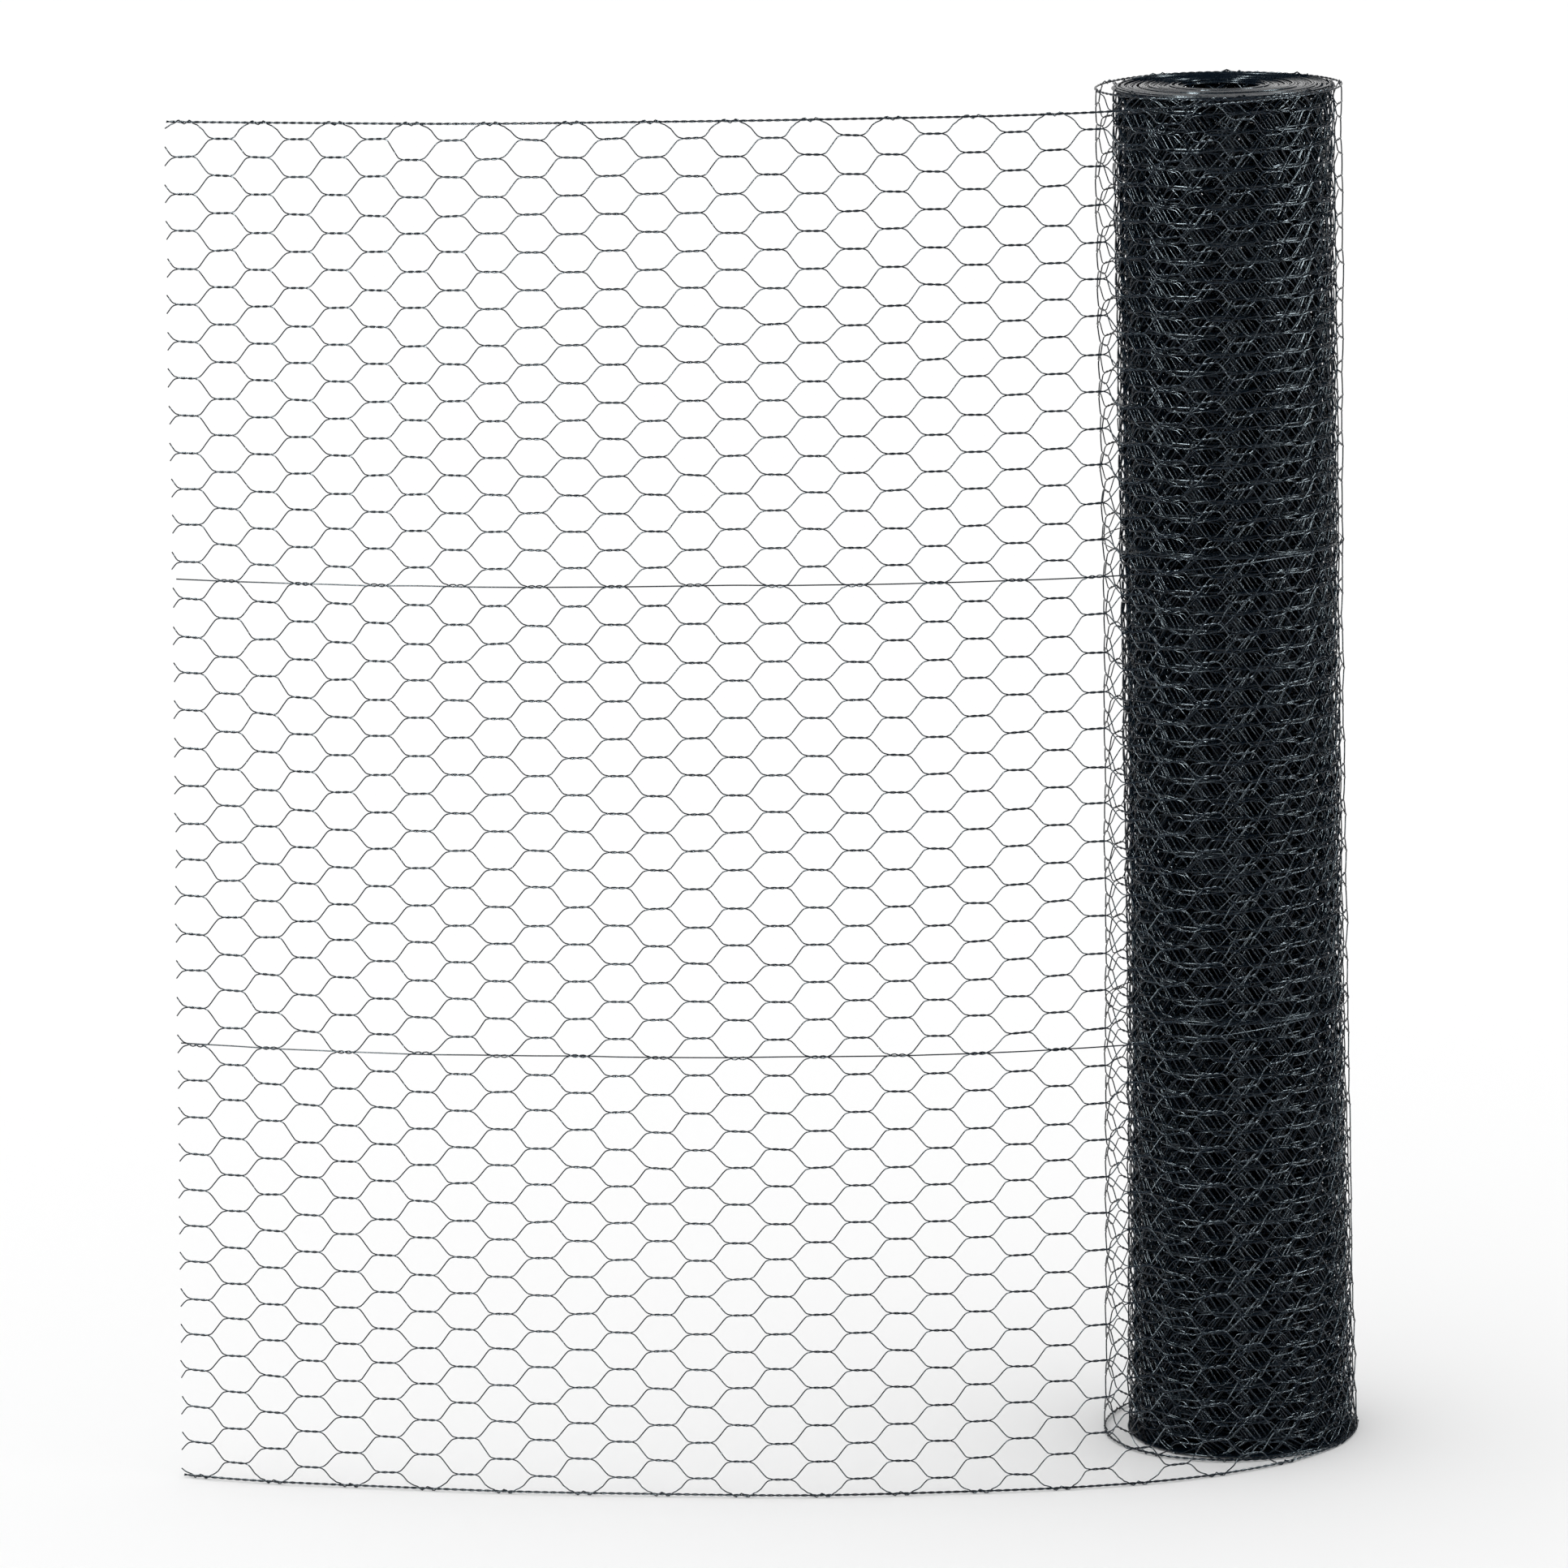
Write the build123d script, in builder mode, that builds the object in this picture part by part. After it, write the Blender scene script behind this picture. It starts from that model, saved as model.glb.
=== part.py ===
"""Roll of hexagonal wire netting, standing on end, with its outer stretch unrolled.

The netting is one woven piece. The tight turns are one turned solid. The loose outer turn
and the open stretch are runs of flat panels, each with its own hexagonal openings.
Millimetres, +Z up. The origin is on the axis of the tight turns, at floor level.
"""

from build123d import *
from math import asin, atan2, cos, radians, sin
import os

# Netting
netting_width = 914.4  # height of the standing roll, one yard of netting
half_rows = 74  # half rows of mesh between the two selvedges
column_pitch = 26.05  # along the netting, from one column of twists to the next
twist_length = 17.6  # the two wires run twisted together over this length
twist_width = 1.7  # the twisted pair, over its coating
wire_diameter = 0.9  # a single wire, over its coating
selvedge_width = 2.4  # the bundle of wires along each long edge
line_wire_half_rows = (24, 49)  # half rows that the two straight line wires follow
upper_line_height = 612.5  # the rows above the upper line wire are woven a little closer
column_lean = -0.013  # shift along the netting for each millimetre of height

# Tight turns
bore_radius = 25.0
tight_radius = 70.0
turn_count = 46
level_turns = 4  # outer turns left level at the foot, to stand on
groove_depth = 4.0  # how far the gaps between turns are cut into each end

# Loose outer turn, seen from above
loose_radius = 80.0
loose_offset = 4.5  # its centre lies this far to the left of the tight turns' axis
leaving_angle = -44.0  # where the open stretch leaves it
loose_span = (205.0, 425.0)  # it draws in to the tight turns between these angles
loose_panel_columns = 2
loose_panel_count = 9
loose_panel_gap = 0.4  # between the wire ends of neighbouring panels, which meet at an angle
seat_clearance = 0.3  # between the tight turns and the innermost loose panel

# Open stretch, seen from above
bend_distances = (0, 100, 200, 300, 400, 500, 600, 800)  # from where it leaves the roll
bend_radii = (216, 269, 575, 1120, 4000, 1430, 1370, 1110)  # of its bend at those distances
open_panel_columns = 4
open_panel_count = 7
open_panel_gap = 0.2  # between the wire ends of neighbouring panels

lower_half_row = upper_line_height / line_wire_half_rows[1]
upper_half_row = (netting_width - upper_line_height) / (half_rows - line_wire_half_rows[1])
turn_pitch = (tight_radius - bore_radius) / turn_count
open_panel_length = open_panel_columns * column_pitch
loose_panel_length = loose_panel_columns * column_pitch


def turned_profile():
    """Half section of the tight turns, with each turn as a ridge on both ends."""
    foot = [(bore_radius, 0)]
    head = [(bore_radius, netting_width)]
    for turn in range(turn_count):
        ridge = bore_radius + turn_pitch * turn
        if turn < turn_count - level_turns:
            foot.append((ridge + turn_pitch / 2, groove_depth))
            foot.append((ridge + turn_pitch, 0))
        head.append((ridge + turn_pitch / 2, netting_width - groove_depth))
        head.append((ridge + turn_pitch, netting_width))
    foot.append((tight_radius, 0))
    with BuildSketch(Plane.XZ) as profile:
        with BuildLine():
            Polyline(*foot, *reversed(head), close=True)
        make_face()
    return profile.sketch


def row_height(row):
    """Height of a half row above the foot."""
    rows_above = max(row - line_wire_half_rows[1], 0)
    return (row - rows_above) * lower_half_row + rows_above * upper_half_row


def mesh_opening(half_row):
    """Corners of one hexagonal opening, measured between the wires around it."""
    diagonal_run = column_pitch - twist_length
    diagonal_angle = atan2(half_row, diagonal_run)
    tip = column_pitch - twist_length / 2 - wire_diameter / 2 / sin(diagonal_angle)
    top = half_row - twist_width / 2
    shoulder = tip - top * diagonal_run / half_row
    return [(-tip, 0), (-shoulder, top), (shoulder, top), (tip, 0), (shoulder, -top), (-shoulder, -top)]


def netting_panel(column_count, gap):
    """One flat panel of netting, with its lower left corner at the origin."""
    length = column_count * column_pitch
    openings = {lower_half_row: [], upper_half_row: []}
    for column in range(-1, column_count + 1):
        for row in range(half_rows + 1):
            if (column + row) % 2 == 0:
                height = row_height(row)
                lean = column_lean * (height - netting_width / 2)
                half_row = lower_half_row if row <= line_wire_half_rows[1] else upper_half_row
                openings[half_row].append(((column + 0.5) * column_pitch + lean, height))
    with BuildPart() as panel:
        with BuildSketch(Plane.XY.offset(-wire_diameter / 2)):
            with Locations((length / 2, netting_width / 2)):
                Rectangle(length - gap, netting_width)
            for half_row, places in openings.items():
                with Locations(*places):
                    Polygon(*mesh_opening(half_row), align=None, mode=Mode.SUBTRACT)
            for height in (selvedge_width / 2, netting_width - selvedge_width / 2):
                with Locations((length / 2, height)):
                    Rectangle(length - gap, selvedge_width)
            for row in line_wire_half_rows:
                with Locations((length / 2, row_height(row))):
                    Rectangle(length - gap, wire_diameter)
        extrude(amount=wire_diameter)
    return panel.part


def loose_point(angle):
    """Point of the loose turn in plan, at an angle round the roll from where the stretch leaves it."""
    start, end = loose_span
    share = min(max((angle - start) / (end - start), 0), 1)
    share = share * share * (3 - 2 * share)
    radius = loose_radius + (tight_radius - loose_radius) * share
    direction = radians(leaving_angle + angle)
    return Vector(radius * cos(direction) - loose_offset * (1 - share), radius * sin(direction), 0)


def loose_headings():
    """Directions of the loose panels, from the outermost to the innermost."""
    corners = [loose_point(0)]
    here = corners[0]
    walked = 0
    angle = 0
    while len(corners) <= loose_panel_count:
        angle += 0.1
        further = loose_point(angle)
        walked += (further - here).length
        here = further
        if walked >= len(corners) * loose_panel_length:
            corners.append(here)
    chords = [corners[n] - corners[n + 1] for n in range(loose_panel_count)]
    return [atan2(chord.Y, chord.X) for chord in chords]


def seated_heading(corner):
    """Direction of a panel that ends at a corner and rests against the tight turns."""
    reach = tight_radius + seat_clearance + wire_diameter / 2
    return atan2(corner.Y, corner.X) - asin(reach / corner.length)


def bend_at(distance):
    """Turning of the open stretch for each millimetre, at a distance along it."""
    for n in range(len(bend_distances) - 1):
        start, end = bend_distances[n], bend_distances[n + 1]
        if distance <= end:
            share = (distance - start) / (end - start)
            return (1 - share) / bend_radii[n] + share / bend_radii[n + 1]
    return 1 / bend_radii[-1]


def open_heading(distance):
    """Direction of the open stretch at a distance along it from the roll."""
    turned = sum(bend_at(step + 0.5) for step in range(int(distance)))
    return radians(leaving_angle - 90) - turned


def place_panel(flat, corner, heading, label):
    """Stands a flat panel on its selvedge, from a corner in a direction, and names it."""
    along = Vector(cos(heading), sin(heading), 0)
    standing = Plane(origin=corner, x_dir=along, z_dir=along.cross(Vector(0, 0, 1)))
    with BuildPart() as panel:
        with Locations(standing.location):
            add(flat, clean=False)
    panel.part.label = label
    return panel.part


with BuildPart() as rolled_netting:
    add(turned_profile())
    revolve(axis=Axis.Z)
rolled_netting.part.label = "rolled_netting"

short_panel = netting_panel(loose_panel_columns, loose_panel_gap)
long_panel = netting_panel(open_panel_columns, open_panel_gap)

# The loose turn is laid inwards from the open stretch, and its last panel rests on the tight turns.
panels = []
corner = loose_point(0)
for number, heading in enumerate(loose_headings()):
    if number == loose_panel_count - 1:
        heading = seated_heading(corner)
    corner = corner - Vector(cos(heading), sin(heading), 0) * loose_panel_length
    panels.append(place_panel(short_panel, corner, heading, f"loose_netting_{loose_panel_count - number}"))

# The open stretch ends in one short panel.
open_panels = [(long_panel, open_panel_length)] * open_panel_count + [(short_panel, loose_panel_length)]
corner = loose_point(0)
distance = 0
for number, (flat, length) in enumerate(open_panels):
    heading = open_heading(distance + length / 2)
    panels.append(place_panel(flat, corner, heading, f"unrolled_netting_{number + 1}"))
    corner = corner + Vector(cos(heading), sin(heading), 0) * length
    distance += length

os.makedirs("parts", exist_ok=True)
for piece in [rolled_netting.part, *panels]:
    export_step(piece, f"parts/{piece.label}.step")
    print(piece.label, round(piece.volume), "mm3")
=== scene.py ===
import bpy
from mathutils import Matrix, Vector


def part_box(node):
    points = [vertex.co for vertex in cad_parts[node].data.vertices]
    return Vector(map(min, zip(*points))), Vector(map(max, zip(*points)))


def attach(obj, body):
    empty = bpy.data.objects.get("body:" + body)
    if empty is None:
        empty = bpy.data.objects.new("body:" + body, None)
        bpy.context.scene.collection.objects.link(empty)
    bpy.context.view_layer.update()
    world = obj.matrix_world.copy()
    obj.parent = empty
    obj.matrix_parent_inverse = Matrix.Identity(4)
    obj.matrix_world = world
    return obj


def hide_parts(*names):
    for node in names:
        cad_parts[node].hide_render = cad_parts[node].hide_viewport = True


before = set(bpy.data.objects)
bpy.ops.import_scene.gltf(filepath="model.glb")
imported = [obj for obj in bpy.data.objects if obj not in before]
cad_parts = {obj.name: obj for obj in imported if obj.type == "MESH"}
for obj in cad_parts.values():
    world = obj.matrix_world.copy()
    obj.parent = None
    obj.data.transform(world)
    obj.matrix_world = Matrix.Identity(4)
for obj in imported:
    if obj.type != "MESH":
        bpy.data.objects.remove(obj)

"""Roll of black coated hexagonal wire netting, with its outer stretch unrolled.

Sizes are in metres. The netting is laid out flat first, as (along, out, up), and then bent
round the line that it follows in plan. Along is 0 where the open stretch leaves the roll.
"""

from math import cos, pi, radians, sin, tau

import bpy
import numpy as np
from bpy.props import (
    FloatProperty,
    FloatVectorProperty,
    IntProperty,
    PointerProperty,
)
from mathutils import Matrix, Vector

bl_info = {
    "name": "Hexagonal wire netting roll",
    "version": (1, 0, 0),
    "blender": (4, 5, 0),
    "location": "View3D > Sidebar > Netting",
    "description": "Builds a part-unrolled roll of coated hexagonal wire netting",
    "category": "Add Mesh",
}

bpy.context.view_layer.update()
ROLL_NODE = "rolled_netting"
PANEL_NODES = sorted(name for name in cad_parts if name.startswith("unrolled_netting_"))
LOOSE_NODES = sorted(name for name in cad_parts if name.startswith("loose_netting_"))
ROLL_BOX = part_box(ROLL_NODE)
COLUMNS_PER_PANEL = 4
MM = 0.001

# Millimetres along one wire, either side of a twist's middle, at which it has a ring of points
FINE_STEPS = [10.8, 9.3, 8.2, 6.7, 5.0, 3.35, 1.68, 0.0]
PLAIN_STEPS = [10.3, 8.7, 6.3, 3.75, 1.25]
COARSE_STEPS = [8.4, 0.0]
COARSE_COLUMNS = 49  # outermost columns of the tight turns, woven of wires where the rest are bars
FIRST_COLUMN = -620  # lower than any column of the netting
SELVEDGE_CENTRE = 0.0017  # height of its middle above the foot, or below the head
COARSE_THICKENING = 1.35  # how much thicker the wires of the coarse columns are
RUN_OVERLAP = 2 * MM  # of a wire's rolled run with its loose one
TWIST_BAR_RADIUS = 1.25 * MM
DIAGONAL_BAR_RADIUS = 0.8 * MM
FLOOR_CLEARANCE = 0.05 * MM


class NettingSizes(bpy.types.PropertyGroup):
    """Sizes of the woven netting."""

    width: FloatProperty(
        name="Width",
        description="Height of the standing roll, from selvedge to selvedge",
        default=round(ROLL_BOX[1][2] - ROLL_BOX[0][2], 4),
        unit="LENGTH",
        subtype="DISTANCE",
    )
    half_rows: IntProperty(
        name="Half rows",
        description="Half rows of mesh between the two selvedges",
        default=74,
    )
    column_pitch: FloatProperty(
        name="Column pitch",
        description="Distance along the netting from one column of twists to the next",
        default=0.02605,
        precision=5,
        unit="LENGTH",
        subtype="DISTANCE",
    )
    twist_length: FloatProperty(
        name="Twist length",
        description="Length over which two wires run twisted together",
        default=0.0176,
        precision=4,
        unit="LENGTH",
        subtype="DISTANCE",
    )
    wire_diameter: FloatProperty(
        name="Wire diameter",
        description="One wire over its coating",
        default=0.00088,
        precision=5,
        unit="LENGTH",
        subtype="DISTANCE",
    )
    upper_line_wire: IntProperty(
        name="Upper line wire",
        description="Half row that the upper straight line wire follows",
        default=49,
    )
    lower_line_wire: IntProperty(
        name="Lower line wire",
        description="Half row that the lower straight line wire follows",
        default=24,
    )
    upper_line_height: FloatProperty(
        name="Upper line height",
        description="Height of the upper line wire, above which the rows are a little closer",
        default=0.6125,
        precision=4,
        unit="LENGTH",
        subtype="DISTANCE",
    )
    seed: IntProperty(
        name="Seed",
        description="Picks the small irregularities of the weave",
        default=7,
    )


class RollSizes(bpy.types.PropertyGroup):
    """Sizes of the roll and of the line that the netting follows in plan."""

    leaving_angle: FloatProperty(
        name="Leaving angle",
        description="Direction from the roll's axis to where the open stretch leaves it",
        default=radians(-44.0),
        subtype="ANGLE",
    )
    open_columns: IntProperty(
        name="Open columns",
        description="Columns of twists in the open stretch",
        default=30,
    )
    loose_columns: IntProperty(
        name="Loose columns",
        description="Columns of twists in the loose outer turn",
        default=22,
    )
    loose_radius: FloatProperty(
        name="Loose radius",
        description="Radius of the loose outer turn",
        default=0.0800,
        precision=4,
        unit="LENGTH",
        subtype="DISTANCE",
    )
    tight_radius: FloatProperty(
        name="Tight radius",
        description="Radius of the tight turns inside the loose one",
        default=0.0720,
        precision=4,
        unit="LENGTH",
        subtype="DISTANCE",
    )
    loose_offset: FloatProperty(
        name="Loose offset",
        description="How far the loose turn's centre lies to the left of the tight turns' axis",
        default=0.0045,
        precision=4,
        unit="LENGTH",
        subtype="DISTANCE",
    )
    bore_radius: FloatProperty(
        name="Bore radius",
        description="Radius of the innermost turn",
        default=0.0260,
        precision=4,
        unit="LENGTH",
        subtype="DISTANCE",
    )
    turn_spacing: FloatProperty(
        name="Turn spacing",
        description="Radial distance from one tight turn to the next",
        default=0.00102,
        precision=5,
        unit="LENGTH",
        subtype="DISTANCE",
    )
    loose_splay: FloatProperty(
        name="Loose splay",
        description="How far the loose outer turn spreads at the foot",
        default=0.0061,
        precision=4,
        unit="LENGTH",
        subtype="DISTANCE",
    )
    tight_splay: FloatProperty(
        name="Tight splay",
        description="How far the outermost tight turns spread at the foot",
        default=0.0045,
        precision=4,
        unit="LENGTH",
        subtype="DISTANCE",
    )


class CoatingLook(bpy.types.PropertyGroup):
    """Colour and finish of the plastic coating."""

    colour: FloatVectorProperty(
        name="Colour",
        description="Main colour of the coating",
        default=(0.0034, 0.0080, 0.0150),
        subtype="COLOR",
        size=3,
        min=0,
        max=1,
    )
    worn_colour: FloatVectorProperty(
        name="Worn colour",
        description="Colour where the coating is dusty or rubbed",
        default=(0.014, 0.025, 0.037),
        subtype="COLOR",
        size=3,
        min=0,
        max=1,
    )
    roughness: FloatProperty(
        name="Roughness",
        description="Mean roughness of the coating",
        default=0.23,
        min=0,
        max=1,
        subtype="FACTOR",
    )


class StageLook(bpy.types.PropertyGroup):
    """Floor, light and camera."""

    floor_colour: FloatVectorProperty(
        name="Floor colour",
        description="Colour of the plain floor",
        default=(0.92, 0.92, 0.92),
        subtype="COLOR",
        size=3,
        min=0,
        max=1,
    )
    light_power: FloatProperty(
        name="Light power",
        description="Power of the soft box on the right. The left one is stronger",
        default=130.0,
        min=0,
        unit="POWER",
    )
    back_power: FloatProperty(
        name="Back light power",
        description="Power of the large soft box behind the roll",
        default=24.0,
        min=0,
        unit="POWER",
    )
    camera_height: FloatProperty(
        name="Camera height",
        description="Height of the camera above the floor",
        default=1.4558,
        precision=4,
        unit="LENGTH",
        subtype="DISTANCE",
    )
    camera_distance: FloatProperty(
        name="Camera distance",
        description="Distance of the camera in front of the roll's axis",
        default=4.7328,
        precision=4,
        unit="LENGTH",
        subtype="DISTANCE",
    )
    focal_length: FloatProperty(
        name="Focal length",
        description="Camera lens on a 36 mm sensor",
        default=166.707,
        unit="CAMERA",
    )


def smooth_step(value):
    """0 below 0, 1 above 1, and a smooth rise between."""
    value = np.clip(value, 0.0, 1.0)
    return value * value * (3 - 2 * value)


def smooth_noise(positions, spacing, seed):
    """Seeded values from -1 to 1 that change smoothly over a distance of about spacing."""
    first = int(np.floor(positions.min() / spacing)) - 1
    count = int(np.ceil(positions.max() / spacing)) - first + 3
    values = np.random.default_rng(seed).uniform(-1, 1, count)
    place = positions / spacing - first
    lower = np.floor(place).astype(int)
    part = smooth_step(place - lower)
    return values[lower] * (1 - part) + values[lower + 1] * part


class NettingLine:
    """The line that the netting follows in plan, from the bore to the open end."""

    # Bend of the open stretch, in radians for each metre, at distances from the roll
    CURVATURE_AT = [0.0, 0.1, 0.2, 0.3, 0.4, 0.5, 0.6, 0.8]
    CURVATURE = [4.62, 3.72, 1.74, 0.89, 0.24, 0.70, 0.73, 0.90]
    OPEN_LENGTH = 0.84
    STEP = 0.001

    def __init__(self, sizes, roll):
        even_line_height = sizes.width * sizes.upper_line_wire / sizes.half_rows
        above = sizes.width + 0.1
        self.even_heights = [0.0, even_line_height, sizes.width, above]
        self.true_heights = [0.0, sizes.upper_line_height, sizes.width, above]
        self.splays = roll.loose_splay, roll.tight_splay
        open_line = self.open_stretch(roll)
        rolled_line = self.turns(roll)
        points = np.concatenate([rolled_line[::-1], open_line[1:]])
        steps = np.linalg.norm(np.diff(points, axis=0), axis=1)
        along = np.concatenate([[0.0], np.cumsum(steps)])
        self.along = along - along[len(rolled_line) - 1]
        self.points = points
        heading = np.gradient(points, axis=0)
        heading /= np.linalg.norm(heading, axis=1)[:, None]
        self.outward = np.stack([-heading[:, 1], heading[:, 0]], axis=1)

    def open_stretch(self, roll):
        """Points of the open stretch, which leaves the roll along its tangent."""
        count = int(round(self.OPEN_LENGTH / self.STEP))
        middles = (np.arange(count) + 0.5) * self.STEP
        curvature = np.interp(middles, self.CURVATURE_AT, self.CURVATURE)
        turned = np.cumsum(curvature) * self.STEP
        heading = roll.leaving_angle - pi / 2 - turned + curvature * self.STEP / 2
        steps = np.stack([np.cos(heading), np.sin(heading)], axis=1) * self.STEP
        start = np.array([cos(roll.leaving_angle), sin(roll.leaving_angle)]) * roll.loose_radius
        start[0] -= roll.loose_offset
        return start + np.concatenate([np.zeros((1, 2)), np.cumsum(steps, axis=0)])

    def turns(self, roll):
        """Points of the roll's turns, from the outside in."""
        loosens_from, tight_from = radians(205), radians(425)
        turn_count = (roll.tight_radius - roll.bore_radius) / roll.turn_spacing
        angle = np.arange(0, tight_from + turn_count * tau, radians(1.0))
        drop = smooth_step((angle - loosens_from) / (tight_from - loosens_from))
        radius = roll.loose_radius - (roll.loose_radius - roll.tight_radius) * drop
        radius -= np.maximum(0, angle - tight_from) / tau * roll.turn_spacing
        inner = np.clip((radius - roll.bore_radius) / (roll.tight_radius - roll.bore_radius), 0, 1)
        offset = -roll.loose_offset * (1 - drop)
        direction = roll.leaving_angle + angle
        ripple = 0.5 * np.sin(2 * direction + 0.6 + 0.01 * angle)
        ripple += 0.3 * np.sin(3 * direction + 2.0 + 0.02 * angle)
        ripple = ripple * MM * drop * (0.3 + 0.7 * inner)
        ripple += 0.16 * MM * drop * smooth_noise(angle, 0.9, 11)
        radius = radius + ripple
        return np.stack(
            [offset + radius * np.cos(direction), radius * np.sin(direction)], axis=1
        )

    def bend(self, flat):
        """Bends flat netting, as (along, out, up), round the line, and gives points in metres."""
        along, out, up = flat[..., 0], flat[..., 1], flat[..., 2]
        up = self.true_height(up)
        lean, wave, lift = self.lean(along, up), self.wave(along, up), self.lift(along, up)
        along, out, up = along + lean, out + wave, up + lift
        across = [np.interp(along, self.along, self.points[:, axis]) for axis in (0, 1)]
        outward = [np.interp(along, self.along, self.outward[:, axis]) for axis in (0, 1)]
        sideways = across[0] + outward[0] * out + self.tight_lean(along, up)
        return np.stack([sideways, across[1] + outward[1] * out, up], axis=-1)

    def true_height(self, up):
        """Heights once the rows above the upper line wire are a little closer than those below."""
        return np.where(up < 0, up, np.interp(up, self.even_heights, self.true_heights))

    def lean(self, along, up):
        """The columns of twists lean towards the roll as they rise, more so towards the open end."""
        return -(0.003 + 0.032 * np.maximum(0, along)) * (up - 0.457)

    def tight_lean(self, along, up):
        """The tight turns stand a little to the right at the foot and to the left at the head."""
        return (0.0025 - 0.0045 * up) * (1 - smooth_step((along + 0.62) / 0.3))

    def wave(self, along, up):
        """Waves out of plane in the open stretch and loose turn, and the turns' splay at the foot."""
        open_part = smooth_step(along / 0.2)
        waves = 1.1 * np.sin(tau * (along / 0.34 + up / 1.5) + 0.4)
        waves += 0.8 * np.sin(tau * (along / 0.19 - up / 0.8) + 2.1)
        waves += 0.7 * np.sin(tau * (along / 0.47 + up / 0.42) + 4.0)
        loose_part = smooth_step((along + 0.62) / 0.22) * (1 - smooth_step((along - 0.02) / 0.16))
        depth = np.clip(1 + (along + 0.6) / 13.9, 0, 1)
        tight_part = (1 - loose_part) * (1 - open_part)
        splay = self.splays[0] * loose_part + self.splays[1] * tight_part * depth ** 1.5
        splay = splay * np.maximum(0, 1 - up / 0.32)
        buckle = 0.8 * np.sin(tau * (along / 0.13 + up / 0.5)) * (1 - open_part)
        return MM * (waves * open_part + buckle * loose_part) + splay

    def lift(self, along, up):
        """The tight turns stand a little higher or lower than each other at the head."""
        tight_part = 1 - smooth_step((along + 0.75) / 0.2)
        uneven = smooth_noise(along, 0.21, 23) * 1.1 + smooth_noise(along, 0.06, 29) * 0.35
        return MM * tight_part * (uneven + 0.2) * smooth_step(up / 0.9)


def ring_places(steps, column_pitch):
    """Places along a wire, from mid-diagonal to mid-diagonal, for half a list of steps."""
    half = [column_pitch / 2] + [step * MM for step in steps]
    mirrored = half[:-1] if half[-1] == 0 else half
    return np.array([-place for place in half] + mirrored[::-1])


def twist_lines(places, sizes, centre_radius, half_turns):
    """Lines of the two wires of a twist, which cross over each other and run on as diagonals."""
    half_row = sizes.width / sizes.half_rows
    end = half_row / 2
    spread = spread_from(places, centre_radius, end, sizes)
    reach = sizes.twist_length / 2 - 0.4 * MM
    if half_turns > 1:
        angle = half_turns * pi * smooth_twist(places / reach)
    else:
        angle = pi * (0.5 + 0.5 * np.clip(places / (0.93 * reach), -1, 1))
    falling = np.stack([places, spread * np.sin(angle), spread * np.cos(angle)], axis=1)
    rising = falling * np.array([1.0, -1.0, -1.0])
    return falling, rising


def smooth_twist(place):
    """Share of a twist's turning done by a place from -1 to 1, easing in and out."""
    place = np.clip(place, -1, 1)
    return 0.5 + 0.5 * (1.12 * place - 0.12 * place ** 3)


def spread_from(places, centre_radius, end, sizes):
    """Distance of a wire from the twist's axis, growing to end at the mid-diagonals."""
    softness = 0.75 * MM
    reach = sizes.twist_length / 2
    rise = softness * np.log1p(np.exp((np.abs(places) - reach) / softness))
    full = softness * np.log1p(np.exp((sizes.column_pitch / 2 - reach) / softness))
    return centre_radius + (end - centre_radius) * rise / full


def selvedge_line(places, sizes, core_radius, centre_height):
    """Line of the wire that comes down to the selvedge, wraps it and goes back up."""
    half_row = sizes.width / sizes.half_rows
    spread = spread_from(places, core_radius, half_row / 2 - centre_height, sizes)
    turns = 2 if len(places) > 6 else 1
    reach = sizes.twist_length / 2 - 0.4 * MM
    angle = turns * tau * smooth_twist(places / reach)
    return np.stack(
        [places, spread * np.sin(angle), centre_height + spread * np.cos(angle)], axis=1
    )


def twist_shifts(sizes):
    """Small seeded shifts of every twist, and its tilt, for the whole netting."""
    rng = np.random.default_rng(sizes.seed)
    shape = (-FIRST_COLUMN + 40, sizes.half_rows + 3)
    amounts = np.array([0.42, 0.35, 0.38]) * MM
    shifts = rng.normal(0, 1, shape + (3,)).clip(-2, 2) * amounts
    tilts = rng.normal(0, 0.022, shape)
    return shifts, tilts


def rings_round(line, radius, sides):
    """Rings of points round a line, with the first point of each ring on its outer side."""
    heading = np.gradient(line, axis=0)
    heading /= np.linalg.norm(heading, axis=1)[:, None]
    outer = np.array([0.0, 1.0, 0.0]) - heading * heading[:, 1:2]
    outer /= np.linalg.norm(outer, axis=1)[:, None]
    upper = np.cross(heading, outer)
    turn = np.arange(sides) / sides * tau
    spokes = np.cos(turn)[None, :, None] * outer[:, None] + np.sin(turn)[None, :, None] * upper[:, None]
    return line[:, None] + radius * spokes


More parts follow.
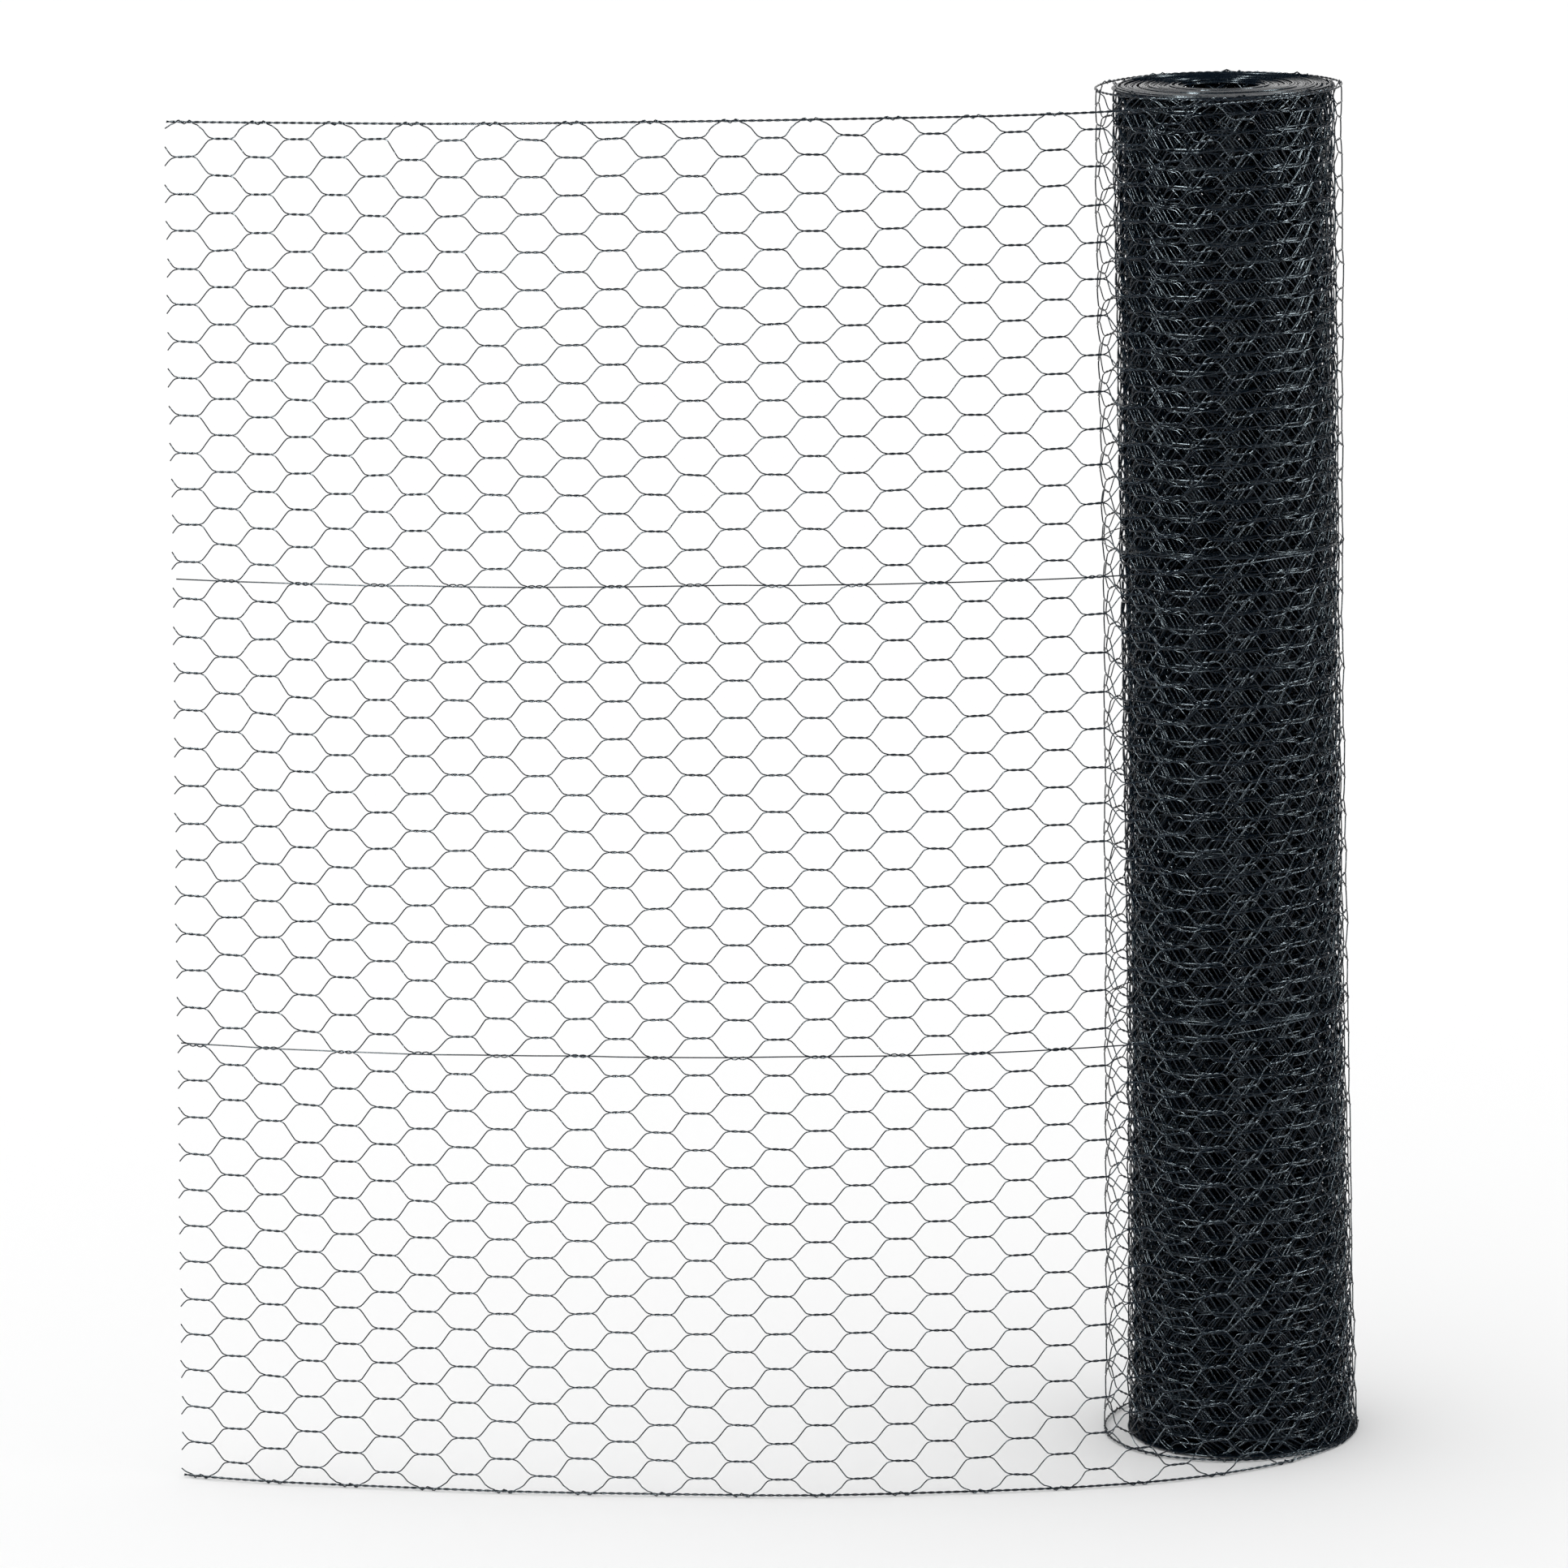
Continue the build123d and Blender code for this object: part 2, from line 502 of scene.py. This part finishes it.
class Weave:
    """The woven wires of some columns of netting, collected ring by ring."""

    def __init__(self, sizes, columns, steps, sides, thickening=1.0):
        self.sizes = sizes
        self.columns = np.array(columns)
        self.first = int(self.columns.min())
        self.sides = sides
        self.half_row = sizes.width / sizes.half_rows
        self.places = ring_places(steps, sizes.column_pitch)
        self.wire_radius = sizes.wire_diameter / 2 * thickening
        self.ring_total = (len(columns) + 1) * sizes.half_rows
        self.rings = [np.zeros((self.ring_total, sides, 3))]
        self.runs = []
        self.tiles = []
        self.jitter = twist_shifts(sizes)

    def shift_of(self, column, row):
        """Shift of the twists in some columns and rows."""
        return self.jitter[0][column - FIRST_COLUMN, row + 1]

    def add_wires(self, columns, rows, line, falling_in, falling_out):
        """Adds the same wire at many twists, each joined to its neighbours' wires."""
        base = rings_round(line, self.wire_radius, self.sides)
        centres = np.stack(
            [
                (columns + 0.5) * self.sizes.column_pitch,
                np.zeros(len(columns)),
                rows * self.half_row,
            ],
            axis=1,
        )
        rings = centres[:, None, None] + base[None]
        here = self.shift_of(columns, rows)
        before = self.shift_of(columns - 1, rows + (1 if falling_in else -1))
        after = self.shift_of(columns + 1, rows + (-1 if falling_out else 1))
        steady = 7 * MM  # a twist is shifted as one, this far either side of its middle
        beyond = (np.abs(self.places) - steady) / (self.sizes.column_pitch / 2 - steady)
        inner = 1 - smooth_step(beyond)
        side = np.where((self.places < 0)[None, :, None], before[:, None], after[:, None])
        shift = here[:, None] * (0.5 + 0.5 * inner)[None, :, None]
        shift = shift + side * (0.5 - 0.5 * inner)[None, :, None]
        edge = ((rows == 0) | (rows == self.sizes.half_rows)).astype(float)
        keep = np.stack([np.ones(len(rows)), 1 - edge, 1 - edge], axis=1)
        shift = shift * np.where(inner[None, :, None] > 0.5, keep[:, None], 1.0)
        rings = rings + shift[:, :, None]
        tilt = self.jitter[1][columns - FIRST_COLUMN, rows + 1] * (1 - edge)
        rings[..., 2] += (tilt[:, None] * self.places[None] * inner[None])[..., None]
        before_row = rows if falling_in else rows - 1
        after_row = rows - 1 if falling_out else rows
        ids = np.empty((len(columns), len(self.places)), int)
        ids[:, 0] = (columns - self.first) * self.sizes.half_rows + before_row
        ids[:, -1] = (columns - self.first + 1) * self.sizes.half_rows + after_row
        inside = len(self.places) - 2
        ids[:, 1:-1] = self.ring_total + np.arange(len(columns) * inside).reshape(-1, inside)
        self.rings.append(rings[:, 1:-1].reshape(-1, self.sides, 3))
        self.rings[0][ids[:, 0]] = rings[:, 0]
        self.rings[0][ids[:, -1]] = rings[:, -1]
        self.ring_total += len(columns) * inside
        self.runs.append(ids)
        strand = 1.0 if falling_in and falling_out else 0.0
        self.tiles.append(np.stack([columns - self.first, rows // 2, np.full(len(rows), strand)], axis=1))

    def fill(self, selvedge_centre, half_turns):
        """Adds every wire of the columns."""
        sizes = self.sizes
        last = sizes.half_rows
        line_rows = (sizes.lower_line_wire, sizes.upper_line_wire)
        pairs = [(c, r) for c in self.columns for r in range(1, last) if (c + r) % 2]
        for lined in (False, True):
            chosen = [(c, r) for c, r in pairs if (r in line_rows) == lined]
            columns, rows = (np.array(values) for values in zip(*chosen))
            gap = 1.02 + (0.92 if lined else 0.0)
            falling, rising = twist_lines(self.places, sizes, self.wire_radius * gap, half_turns)
            self.add_wires(columns, rows, falling, True, True)
            self.add_wires(columns, rows, rising, False, False)
        core = 2.9 * self.wire_radius
        foot = self.columns[self.columns % 2 == 1]
        head = self.columns[(self.columns + last) % 2 == 1]
        line = selvedge_line(self.places, sizes, core, selvedge_centre)
        self.add_wires(foot, np.zeros(len(foot), int), line, True, False)
        line = line * np.array([1.0, 1.0, -1.0])
        self.add_wires(head, np.full(len(head), last), line, False, True)

    def points(self):
        """All ring points, flat."""
        return np.concatenate(self.rings)

    def faces_and_map(self):
        """Four-sided faces between the rings, end caps, and the map that they are painted on."""
        sides = self.sides
        side = np.arange(sides)
        quads, maps = [], []
        across = (self.places - self.places[0]) / (self.places[-1] - self.places[0])
        columns, rows = len(self.columns), self.sizes.half_rows // 2 + 1
        for ids, tile in zip(self.runs, self.tiles):
            near, far = ids[:, :-1, None] * sides, ids[:, 1:, None] * sides
            turned = (side + 1) % sides
            corners = [near + side, near + turned, far + turned, far + side]
            quads.append(np.stack(corners, axis=-1).reshape(-1, 4))
            left = (tile[:, 0, None] + 0.02 + 0.96 * across[None, :-1]) / columns
            right = (tile[:, 0, None] + 0.02 + 0.96 * across[None, 1:]) / columns
            low = (tile[:, 1, None] + (tile[:, 2, None] * sides + side[None] + 0.06) / (2 * sides)) / rows
            high = low + 0.88 / (2 * sides) / rows
            shape = (len(ids), len(across) - 1, sides)
            left, right = (np.broadcast_to(v[:, :, None], shape) for v in (left, right))
            low, high = (np.broadcast_to(v[:, None, :], shape) for v in (low, high))
            corners = [(left, low), (left, high), (right, high), (right, low)]
            maps.append(np.stack([np.stack(c, axis=-1) for c in corners], axis=-2).reshape(-1, 4, 2))
        start = np.arange(self.sizes.half_rows)
        end = start + len(self.columns) * self.sizes.half_rows
        caps = [start[:, None] * sides + side[None, ::-1], end[:, None] * sides + side[None]]
        return np.concatenate(quads), np.concatenate(maps), np.concatenate(caps)


def add_piece(name, points, quads, corner_map, caps, material, nodes):
    mesh = bpy.data.meshes.new(name)
    mesh.vertices.add(len(points))
    mesh.vertices.foreach_set("co", np.ascontiguousarray(points, dtype=np.float32).ravel())
    mesh.loops.add(quads.size + caps.size)
    corners = np.concatenate([quads.ravel(), caps.ravel()])
    mesh.loops.foreach_set("vertex_index", corners.astype(np.int32))
    mesh.polygons.add(len(quads) + len(caps))
    starts = np.arange(len(quads)) * 4
    cap_sides = caps.shape[1] if len(caps) else 1
    cap_starts = quads.size + np.arange(len(caps)) * cap_sides
    mesh.polygons.foreach_set("loop_start", np.concatenate([starts, cap_starts]).astype(np.int32))
    smooth = np.concatenate([np.ones(len(quads), bool), np.zeros(len(caps), bool)])
    mesh.polygons.foreach_set("use_smooth", smooth)
    layer = mesh.uv_layers.new(name="OFBake")
    turn = np.arange(cap_sides) / cap_sides * tau
    cap_map = 0.0004 * np.stack([np.cos(turn), np.sin(turn)], axis=1) + 0.0005
    cap_map = np.broadcast_to(cap_map, (len(caps), cap_sides, 2))
    values = np.concatenate([corner_map.reshape(-1, 2), cap_map.reshape(-1, 2)])
    layer.data.foreach_set("uv", values.astype(np.float32).ravel())
    mesh.update(calc_edges=True)
    mesh.materials.append(material)
    piece = bpy.data.objects.new(name, mesh)
    bpy.context.scene.collection.objects.link(piece)
    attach(piece, "root")
    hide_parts(*nodes)


def running_wire(along, out, up, radius, sides):
    """Rings of one long wire, already laid out flat."""
    line = np.stack([along, out, up], axis=1)
    return rings_round(line, radius, sides)


def add_running_wires(name, strands, line, nodes):
    """Makes one piece of long wires, each a list of rings laid out flat."""
    points, quads, maps, caps = [], [], [], []
    first = 0
    rows = len(strands)
    for row, rings in enumerate(strands):
        count, sides = rings.shape[:2]
        side = np.arange(sides)
        near = first + np.arange(count - 1)[:, None] * sides
        far = near + sides
        turned = (side + 1) % sides
        quads.append(np.stack([near + side, near + turned, far + turned, far + side], axis=-1).reshape(-1, 4))
        folds = 48
        place = np.arange(count - 1) / (count - 1) * folds
        fold = np.minimum(np.floor(place), folds - 1)
        left = place - fold
        right = np.minimum(left + folds / (count - 1), 1.0)
        low = ((row * folds + fold)[:, None] * sides + side[None] + 0.05) / (rows * folds * sides)
        high = low + 0.9 / (rows * folds * sides)
        left, right = (np.broadcast_to(v[:, None], low.shape) for v in (left, right))
        corners = [(left, low), (left, high), (right, high), (right, low)]
        maps.append(np.stack([np.stack(c, axis=-1) for c in corners], axis=-2).reshape(-1, 4, 2))
        caps.append(np.stack([first + side[::-1], first + (count - 1) * sides + side]))
        points.append(line.bend(rings).reshape(-1, 3))
        first += count * sides
    add_piece(
        name,
        np.concatenate(points),
        np.concatenate(quads),
        np.concatenate(maps),
        np.concatenate(caps),
        coated_wire_material(),
        nodes,
    )


def coated_wire_material():
    """Glossy black plastic coating, with dusty rubbed patches and a faint extrusion ripple."""
    name = "Black coated wire"
    if name in bpy.data.materials:
        return bpy.data.materials[name]
    look = bpy.context.scene.coating_look
    material = bpy.data.materials.new(name)
    material.use_nodes = True
    tree = material.node_tree
    tree.nodes.clear()

    def node(kind, place, **settings):
        new = tree.nodes.new(kind)
        new.location = place
        for key, value in settings.items():
            setattr(new, key, value)
        return new

    output = node("ShaderNodeOutputMaterial", (900, 0))
    surface = node("ShaderNodeBsdfPrincipled", (600, 0))
    place = node("ShaderNodeTexCoord", (-900, 0))
    patches = node("ShaderNodeTexNoise", (-650, 250))
    patches.inputs["Scale"].default_value = 38.0
    patches.inputs["Detail"].default_value = 4.0
    specks = node("ShaderNodeTexNoise", (-650, 0))
    specks.inputs["Scale"].default_value = 900.0
    specks.inputs["Detail"].default_value = 2.0
    ripple = node("ShaderNodeTexNoise", (-650, -250))
    ripple.inputs["Scale"].default_value = 1400.0
    ripple.inputs["Detail"].default_value = 1.0
    blend = node("ShaderNodeMath", (-400, 150), operation="MULTIPLY")
    wear = node("ShaderNodeMapRange", (-200, 150))
    wear.inputs["From Min"].default_value = 0.20
    wear.inputs["From Max"].default_value = 0.42
    colour = node("ShaderNodeMix", (50, 200), data_type="RGBA")
    colour.inputs["A"].default_value = (*look.colour, 1)
    colour.inputs["B"].default_value = (*look.worn_colour, 1)
    rough = node("ShaderNodeMapRange", (50, -60))
    rough.inputs["To Min"].default_value = look.roughness - 0.08
    rough.inputs["To Max"].default_value = look.roughness + 0.16
    bump = node("ShaderNodeBump", (300, -300))
    bump.inputs["Strength"].default_value = 0.18
    bump.inputs["Distance"].default_value = 0.0001
    surface.inputs["Specular IOR Level"].default_value = 0.5
    surface.inputs["IOR"].default_value = 1.5
    links = tree.links
    for texture in (patches, specks, ripple):
        links.new(place.outputs["Object"], texture.inputs["Vector"])
    links.new(patches.outputs["Fac"], blend.inputs[0])
    links.new(specks.outputs["Fac"], blend.inputs[1])
    links.new(blend.outputs[0], wear.inputs["Value"])
    links.new(wear.outputs["Result"], colour.inputs["Factor"])
    links.new(wear.outputs["Result"], rough.inputs["Value"])
    links.new(colour.outputs["Result"], surface.inputs["Base Color"])
    links.new(rough.outputs["Result"], surface.inputs["Roughness"])
    links.new(ripple.outputs["Fac"], bump.inputs["Height"])
    links.new(bump.outputs["Normal"], surface.inputs["Normal"])
    links.new(surface.outputs["BSDF"], output.inputs["Surface"])
    return material


class Bars:
    """Columns deep in the roll, with one straight bar for each twist and each diagonal."""

    def __init__(self, sizes, columns):
        self.sizes = sizes
        self.shifts, self.tilts = twist_shifts(sizes)
        rows = np.arange(sizes.half_rows + 1)
        columns, rows = (grid.ravel() for grid in np.meshgrid(np.array(columns), rows, indexing="ij"))
        woven = (columns + rows) % 2 == 1
        self.columns, self.rows = columns[woven], rows[woven]
        self.first = self.columns.min()
        self.rings, self.tiles = [], []
        last = sizes.half_rows
        here = self.end_of(self.columns, self.rows, 1)
        inner = (self.rows > 0) & (self.rows < last)
        self.add(0, inner, self.end_of(self.columns, self.rows, -1), here, TWIST_BAR_RADIUS)
        for kind, step in ((1, 1), (2, -1)):
            kept = (self.rows + step >= 0) & (self.rows + step <= last)
            there = self.end_of(self.columns + 1, np.clip(self.rows + step, 0, last), -1)
            self.add(kind, kept, here, there, DIAGONAL_BAR_RADIUS)

    def end_of(self, columns, rows, side):
        """Left or right ends of the twists in some columns and rows."""
        sizes = self.sizes
        inner = ((rows > 0) & (rows < sizes.half_rows)).astype(float)
        keep = np.stack([np.ones(len(rows)), inner, inner], axis=1)
        shift = self.shifts[columns - FIRST_COLUMN, rows + 1] * keep
        tilt = self.tilts[columns - FIRST_COLUMN, rows + 1] * inner
        reach = side * sizes.twist_length / 2 * (0.3 + 0.7 * inner)
        along = (columns + 0.5) * sizes.column_pitch + reach
        up = np.clip(rows * sizes.width / sizes.half_rows, SELVEDGE_CENTRE, sizes.width - SELVEDGE_CENTRE)
        return np.stack([along, np.zeros(len(rows)), up + tilt * reach], axis=1) + shift

    def add(self, kind, kept, start, end, radius):
        """Adds a three-sided bar between each pair of places that is kept."""
        start, end = start[kept], end[kept]
        heading = end - start
        heading /= np.linalg.norm(heading, axis=1)[:, None]
        outer = np.array([0.0, 1.0, 0.0]) - heading * heading[:, 1:2]
        outer /= np.linalg.norm(outer, axis=1)[:, None]
        upper = np.cross(heading, outer)
        turn = np.arange(3) / 3 * tau
        spokes = np.cos(turn)[None, :, None] * outer[:, None] + np.sin(turn)[None, :, None] * upper[:, None]
        self.rings.append(np.stack([place[:, None] + radius * spokes for place in (start, end)], axis=1))
        tile = (self.rows[kept] // 2) * 3 + kind
        self.tiles.append(np.stack([self.columns[kept] - self.first, tile], axis=1))

    def mesh(self):
        """Points, faces and the map that the bars are painted on."""
        rings, tiles = np.concatenate(self.rings), np.concatenate(self.tiles)
        side = np.arange(3)
        turned = (side + 1) % 3
        corners = np.stack([side, turned, turned + 3, side + 3], axis=-1)
        quads = (np.arange(len(rings))[:, None, None] * 6 + corners[None]).reshape(-1, 4)
        across, upward = tiles[:, 0].max() + 1, (self.sizes.half_rows // 2 + 1) * 3
        left = np.repeat((tiles[:, :1] + 0.03) / across, 3, axis=1)
        right = left + 0.94 / across
        low = (tiles[:, 1:] + (side[None] + 0.06) / 3) / upward
        high = low + 0.88 / 3 / upward
        corner_map = np.stack(
            [np.stack(c, axis=-1) for c in ((left, low), (left, high), (right, high), (right, low))],
            axis=-2,
        )
        return rings.reshape(-1, 3), quads, corner_map.reshape(-1, 4, 2)


def bar_piece(name, columns, nodes):
    """Makes a piece of the columns deep in the roll."""
    scene = bpy.context.scene
    points, quads, corner_map = Bars(scene.netting_sizes, columns).mesh()
    points = NettingLine(scene.netting_sizes, scene.roll_sizes).bend(points)
    points[:, 2] = np.maximum(points[:, 2], FLOOR_CLEARANCE)
    no_caps = np.zeros((0, 3), int)
    add_piece(name, points, quads, corner_map, no_caps, coated_wire_material(), nodes)


def weave_piece(name, columns, steps, sides, half_turns, nodes, thickening=1.0):
    """Weaves some columns of netting, bends them round the line and makes them a piece."""
    scene = bpy.context.scene
    line = NettingLine(scene.netting_sizes, scene.roll_sizes)
    weave = Weave(scene.netting_sizes, columns, steps, sides, thickening)
    weave.fill(SELVEDGE_CENTRE, half_turns)
    quads, corner_map, caps = weave.faces_and_map()
    points = line.bend(weave.points()).reshape(-1, 3)
    points[:, 2] = np.maximum(points[:, 2], FLOOR_CLEARANCE)
    add_piece(name, points, quads, corner_map, caps, coated_wire_material(), nodes)


def first_tight_column(roll):
    """Column of twists at the bore end of the netting."""
    sizes = bpy.context.scene.netting_sizes
    line = NettingLine(sizes, roll)
    return int(np.ceil((line.along[0] + 0.02) / sizes.column_pitch))


def run_ends(sizes, roll):
    """Places along the netting of its bore end, the loose turn's inner end and the open end."""
    ends = first_tight_column(roll), -roll.loose_columns, roll.open_columns
    return [columns * sizes.column_pitch for columns in ends]


class NETTING_OT_open_stretch(bpy.types.Operator):
    """Weave the open stretch, one piece for each of its panels"""

    bl_idname = "netting.open_stretch"
    bl_label = "Open stretch"

    def execute(self, context):
        for number, panel in enumerate(PANEL_NODES):
            start = number * COLUMNS_PER_PANEL
            columns = range(start, min(start + COLUMNS_PER_PANEL, context.scene.roll_sizes.open_columns))
            weave_piece(f"open_stretch_{number + 1}", columns, FINE_STEPS, 5, 3, [panel])
        return {"FINISHED"}


class NETTING_OT_loose_turn(bpy.types.Operator):
    """Weave the loose outer turn of the roll"""

    bl_idname = "netting.loose_turn"
    bl_label = "Loose outer turn"

    def execute(self, context):
        count = context.scene.roll_sizes.loose_columns
        weave_piece("loose_turn", range(-count, 0), PLAIN_STEPS, 4, 3, [ROLL_NODE, *LOOSE_NODES])
        return {"FINISHED"}


class NETTING_OT_tight_turns(bpy.types.Operator):
    """Weave the tight turns, from the outside of the roll to its bore"""

    bl_idname = "netting.tight_turns"
    bl_label = "Tight turns"

    def execute(self, context):
        roll = context.scene.roll_sizes
        first = first_tight_column(roll)
        last = -roll.loose_columns
        outer = last - COARSE_COLUMNS
        middle = (first + outer) // 2
        weave_piece(
            "outer_tight_turns", range(outer, last), COARSE_STEPS, 3, 1, [ROLL_NODE], COARSE_THICKENING
        )
        bar_piece("middle_tight_turns", range(middle, outer), [ROLL_NODE])
        bar_piece("inner_tight_turns", range(first, middle), [ROLL_NODE])
        return {"FINISHED"}


class NETTING_OT_selvedges(bpy.types.Operator):
    """Lay the selvedge wires along both long edges"""

    bl_idname = "netting.selvedges"
    bl_label = "Selvedges"

    def execute(self, context):
        sizes, roll = context.scene.netting_sizes, context.scene.roll_sizes
        line = NettingLine(sizes, roll)
        first, loose, end = run_ends(sizes, roll)
        strand_radius = sizes.wire_diameter / 2 * 0.98
        strand_pitch = 11 * MM
        for edge, centre in (("foot", SELVEDGE_CENTRE), ("head", sizes.width - SELVEDGE_CENTRE)):
            along = np.arange(loose, end, 1.7 * MM)
            strands = []
            for half in (0, pi):
                angle = along / strand_pitch * tau + half
                out, up = strand_radius * np.sin(angle), centre + strand_radius * np.cos(angle)
                strands.append(running_wire(along, out, up, strand_radius, 4))
            add_running_wires(f"{edge}_selvedge", strands, line, [*LOOSE_NODES, *PANEL_NODES])
            along = np.arange(first, loose + RUN_OVERLAP, 7 * MM)
            strand = running_wire(along, 0 * along, 0 * along + centre, 1.9 * strand_radius, 3)
            add_running_wires(f"{edge}_selvedge_rolled", [strand], line, [ROLL_NODE])
        return {"FINISHED"}


class NETTING_OT_line_wires(bpy.types.Operator):
    """Lay the two straight line wires that run through the twists"""

    bl_idname = "netting.line_wires"
    bl_label = "Line wires"

    def execute(self, context):
        sizes, roll = context.scene.netting_sizes, context.scene.roll_sizes
        line = NettingLine(sizes, roll)
        first, loose, end = run_ends(sizes, roll)
        rows = {"upper": sizes.upper_line_wire, "lower": sizes.lower_line_wire}
        for name, row in rows.items():
            height = row * sizes.width / sizes.half_rows
            for part, start, stop, step, sides, nodes in (
                ("", loose, end, 4 * MM, 4, [*LOOSE_NODES, *PANEL_NODES]),
                ("_rolled", first, loose + RUN_OVERLAP, 8 * MM, 3, [ROLL_NODE]),
            ):
                along = np.arange(start, stop, step)
                sag = 0.25 * MM * smooth_noise(along, sizes.column_pitch * 1.3, 31 + row)
                strand = running_wire(along, 0 * along, height + sag, sizes.wire_diameter / 2, sides)
                add_running_wires(f"{name}_line_wire{part}", [strand], line, nodes)
        return {"FINISHED"}


def soft_box(name, place, aim, width, height, power, colour):
    """A large rectangular light, aimed at a point, that only shows as a reflection."""
    lamp = bpy.data.lights.new(name, "AREA")
    lamp.shape = "RECTANGLE"
    lamp.size = width
    lamp.size_y = height
    lamp.energy = power
    lamp.color = colour
    holder = bpy.data.objects.new(name, lamp)
    holder.location = place
    holder.rotation_euler = (Vector(aim) - Vector(place)).to_track_quat("-Z", "Y").to_euler()
    holder.visible_camera = False
    holder.visible_diffuse = False
    bpy.context.scene.collection.objects.link(holder)


class NETTING_OT_stage(bpy.types.Operator):
    """Set out the plain floor, the soft studio light and the camera"""

    bl_idname = "netting.stage"
    bl_label = "Floor, light and camera"

    def execute(self, context):
        look = context.scene.stage_look
        self.floor(look)
        self.light(look)
        self.camera(look)
        return {"FINISHED"}

    def floor(self, look):
        mesh = bpy.data.meshes.new("floor")
        reach = 40.0
        corners = [(-reach, -reach, 0), (reach, -reach, 0), (reach, reach, 0), (-reach, reach, 0)]
        mesh.from_pydata(corners, [], [(0, 1, 2, 3)])
        floor = bpy.data.objects.new("floor", mesh)
        bpy.context.scene.collection.objects.link(floor)
        material = bpy.data.materials.new("Plain floor")
        material.use_nodes = True
        surface = material.node_tree.nodes["Principled BSDF"]
        surface.inputs["Base Color"].default_value = (*look.floor_colour, 1)
        surface.inputs["Roughness"].default_value = 0.85
        surface.inputs["Specular IOR Level"].default_value = 0.0
        mesh.materials.append(material)

    def light(self, look):
        world = bpy.data.worlds.new("Soft daylight")
        bpy.context.scene.world = world
        world.use_nodes = True
        background = world.node_tree.nodes["Background"]
        background.inputs["Color"].default_value = (1.0, 1.0, 1.0, 1)
        background.inputs["Strength"].default_value = 1.1
        world.cycles_visibility.glossy = False
        bpy.context.scene.view_settings.view_transform = "Standard"
        aim = (0.0, 0.0, 0.55)
        cool = (0.80, 0.94, 1.0)
        left_power = 1.4 * look.light_power
        soft_box("left_soft_box", (-1.8, -1.85, 1.9), aim, 0.35, 1.8, left_power, cool)
        soft_box("right_soft_box", (2.35, -0.75, 1.7), aim, 0.35, 2.0, look.light_power, cool)
        soft_box("back_soft_box", (0.0, 2.8, 1.9), aim, 3.0, 2.2, look.back_power, (1.0, 1.0, 1.0))

    def camera(self, look):
        pitch, roll, yaw = 0.208694, -0.022358, -0.004765  # radians
        heading = Vector((-sin(yaw) * cos(pitch), cos(yaw) * cos(pitch), -sin(pitch)))
        right = Vector((cos(yaw), sin(yaw), 0))
        up = right.cross(heading)
        side = cos(roll) * right + sin(roll) * up
        top = -sin(roll) * right + cos(roll) * up
        turned = Matrix((side, top, -heading)).transposed().to_4x4()
        turned.translation = Vector((-0.3205, -look.camera_distance, look.camera_height))
        data = bpy.data.cameras.new("camera")
        data.sensor_width = 36.0
        data.lens = look.focal_length
        data.clip_end = 200.0
        camera = bpy.data.objects.new("camera", data)
        camera.matrix_world = turned
        bpy.context.scene.collection.objects.link(camera)
        bpy.context.scene.camera = camera


STEPS = (
    NETTING_OT_stage,
    NETTING_OT_open_stretch,
    NETTING_OT_loose_turn,
    NETTING_OT_tight_turns,
    NETTING_OT_selvedges,
    NETTING_OT_line_wires,
)


class NETTING_PT_sidebar(bpy.types.Panel):
    """Sizes, finish and building steps of the netting"""

    bl_idname = "NETTING_PT_sidebar"
    bl_label = "Wire netting"
    bl_space_type = "VIEW_3D"
    bl_region_type = "UI"
    bl_category = "Netting"

    def draw(self, context):
        for settings in SETTINGS:
            group = getattr(context.scene, settings)
            for name in group.bl_rna.properties.keys():
                if name not in ("rna_type", "name"):
                    self.layout.prop(group, name)
        for step in STEPS:
            self.layout.operator(step.bl_idname, text=step.bl_label)


SETTINGS = {
    "netting_sizes": NettingSizes,
    "roll_sizes": RollSizes,
    "coating_look": CoatingLook,
    "stage_look": StageLook,
}
CLASSES = (*SETTINGS.values(), *STEPS, NETTING_PT_sidebar)


def register():
    """Registers the classes and hangs the settings on the scene."""
    for item in CLASSES:
        bpy.utils.register_class(item)
    for name, group in SETTINGS.items():
        setattr(bpy.types.Scene, name, PointerProperty(type=group))


def unregister():
    """Takes the settings and the classes away again."""
    for name in SETTINGS:
        delattr(bpy.types.Scene, name)
    for item in reversed(CLASSES):
        bpy.utils.unregister_class(item)


def main():
    """Builds everything in order."""
    register()
    for step in STEPS:
        group, name = step.bl_idname.split(".")
        getattr(getattr(bpy.ops, group), name)()
    bpy.context.view_layer.update()


if __name__ == "__main__":
    main()
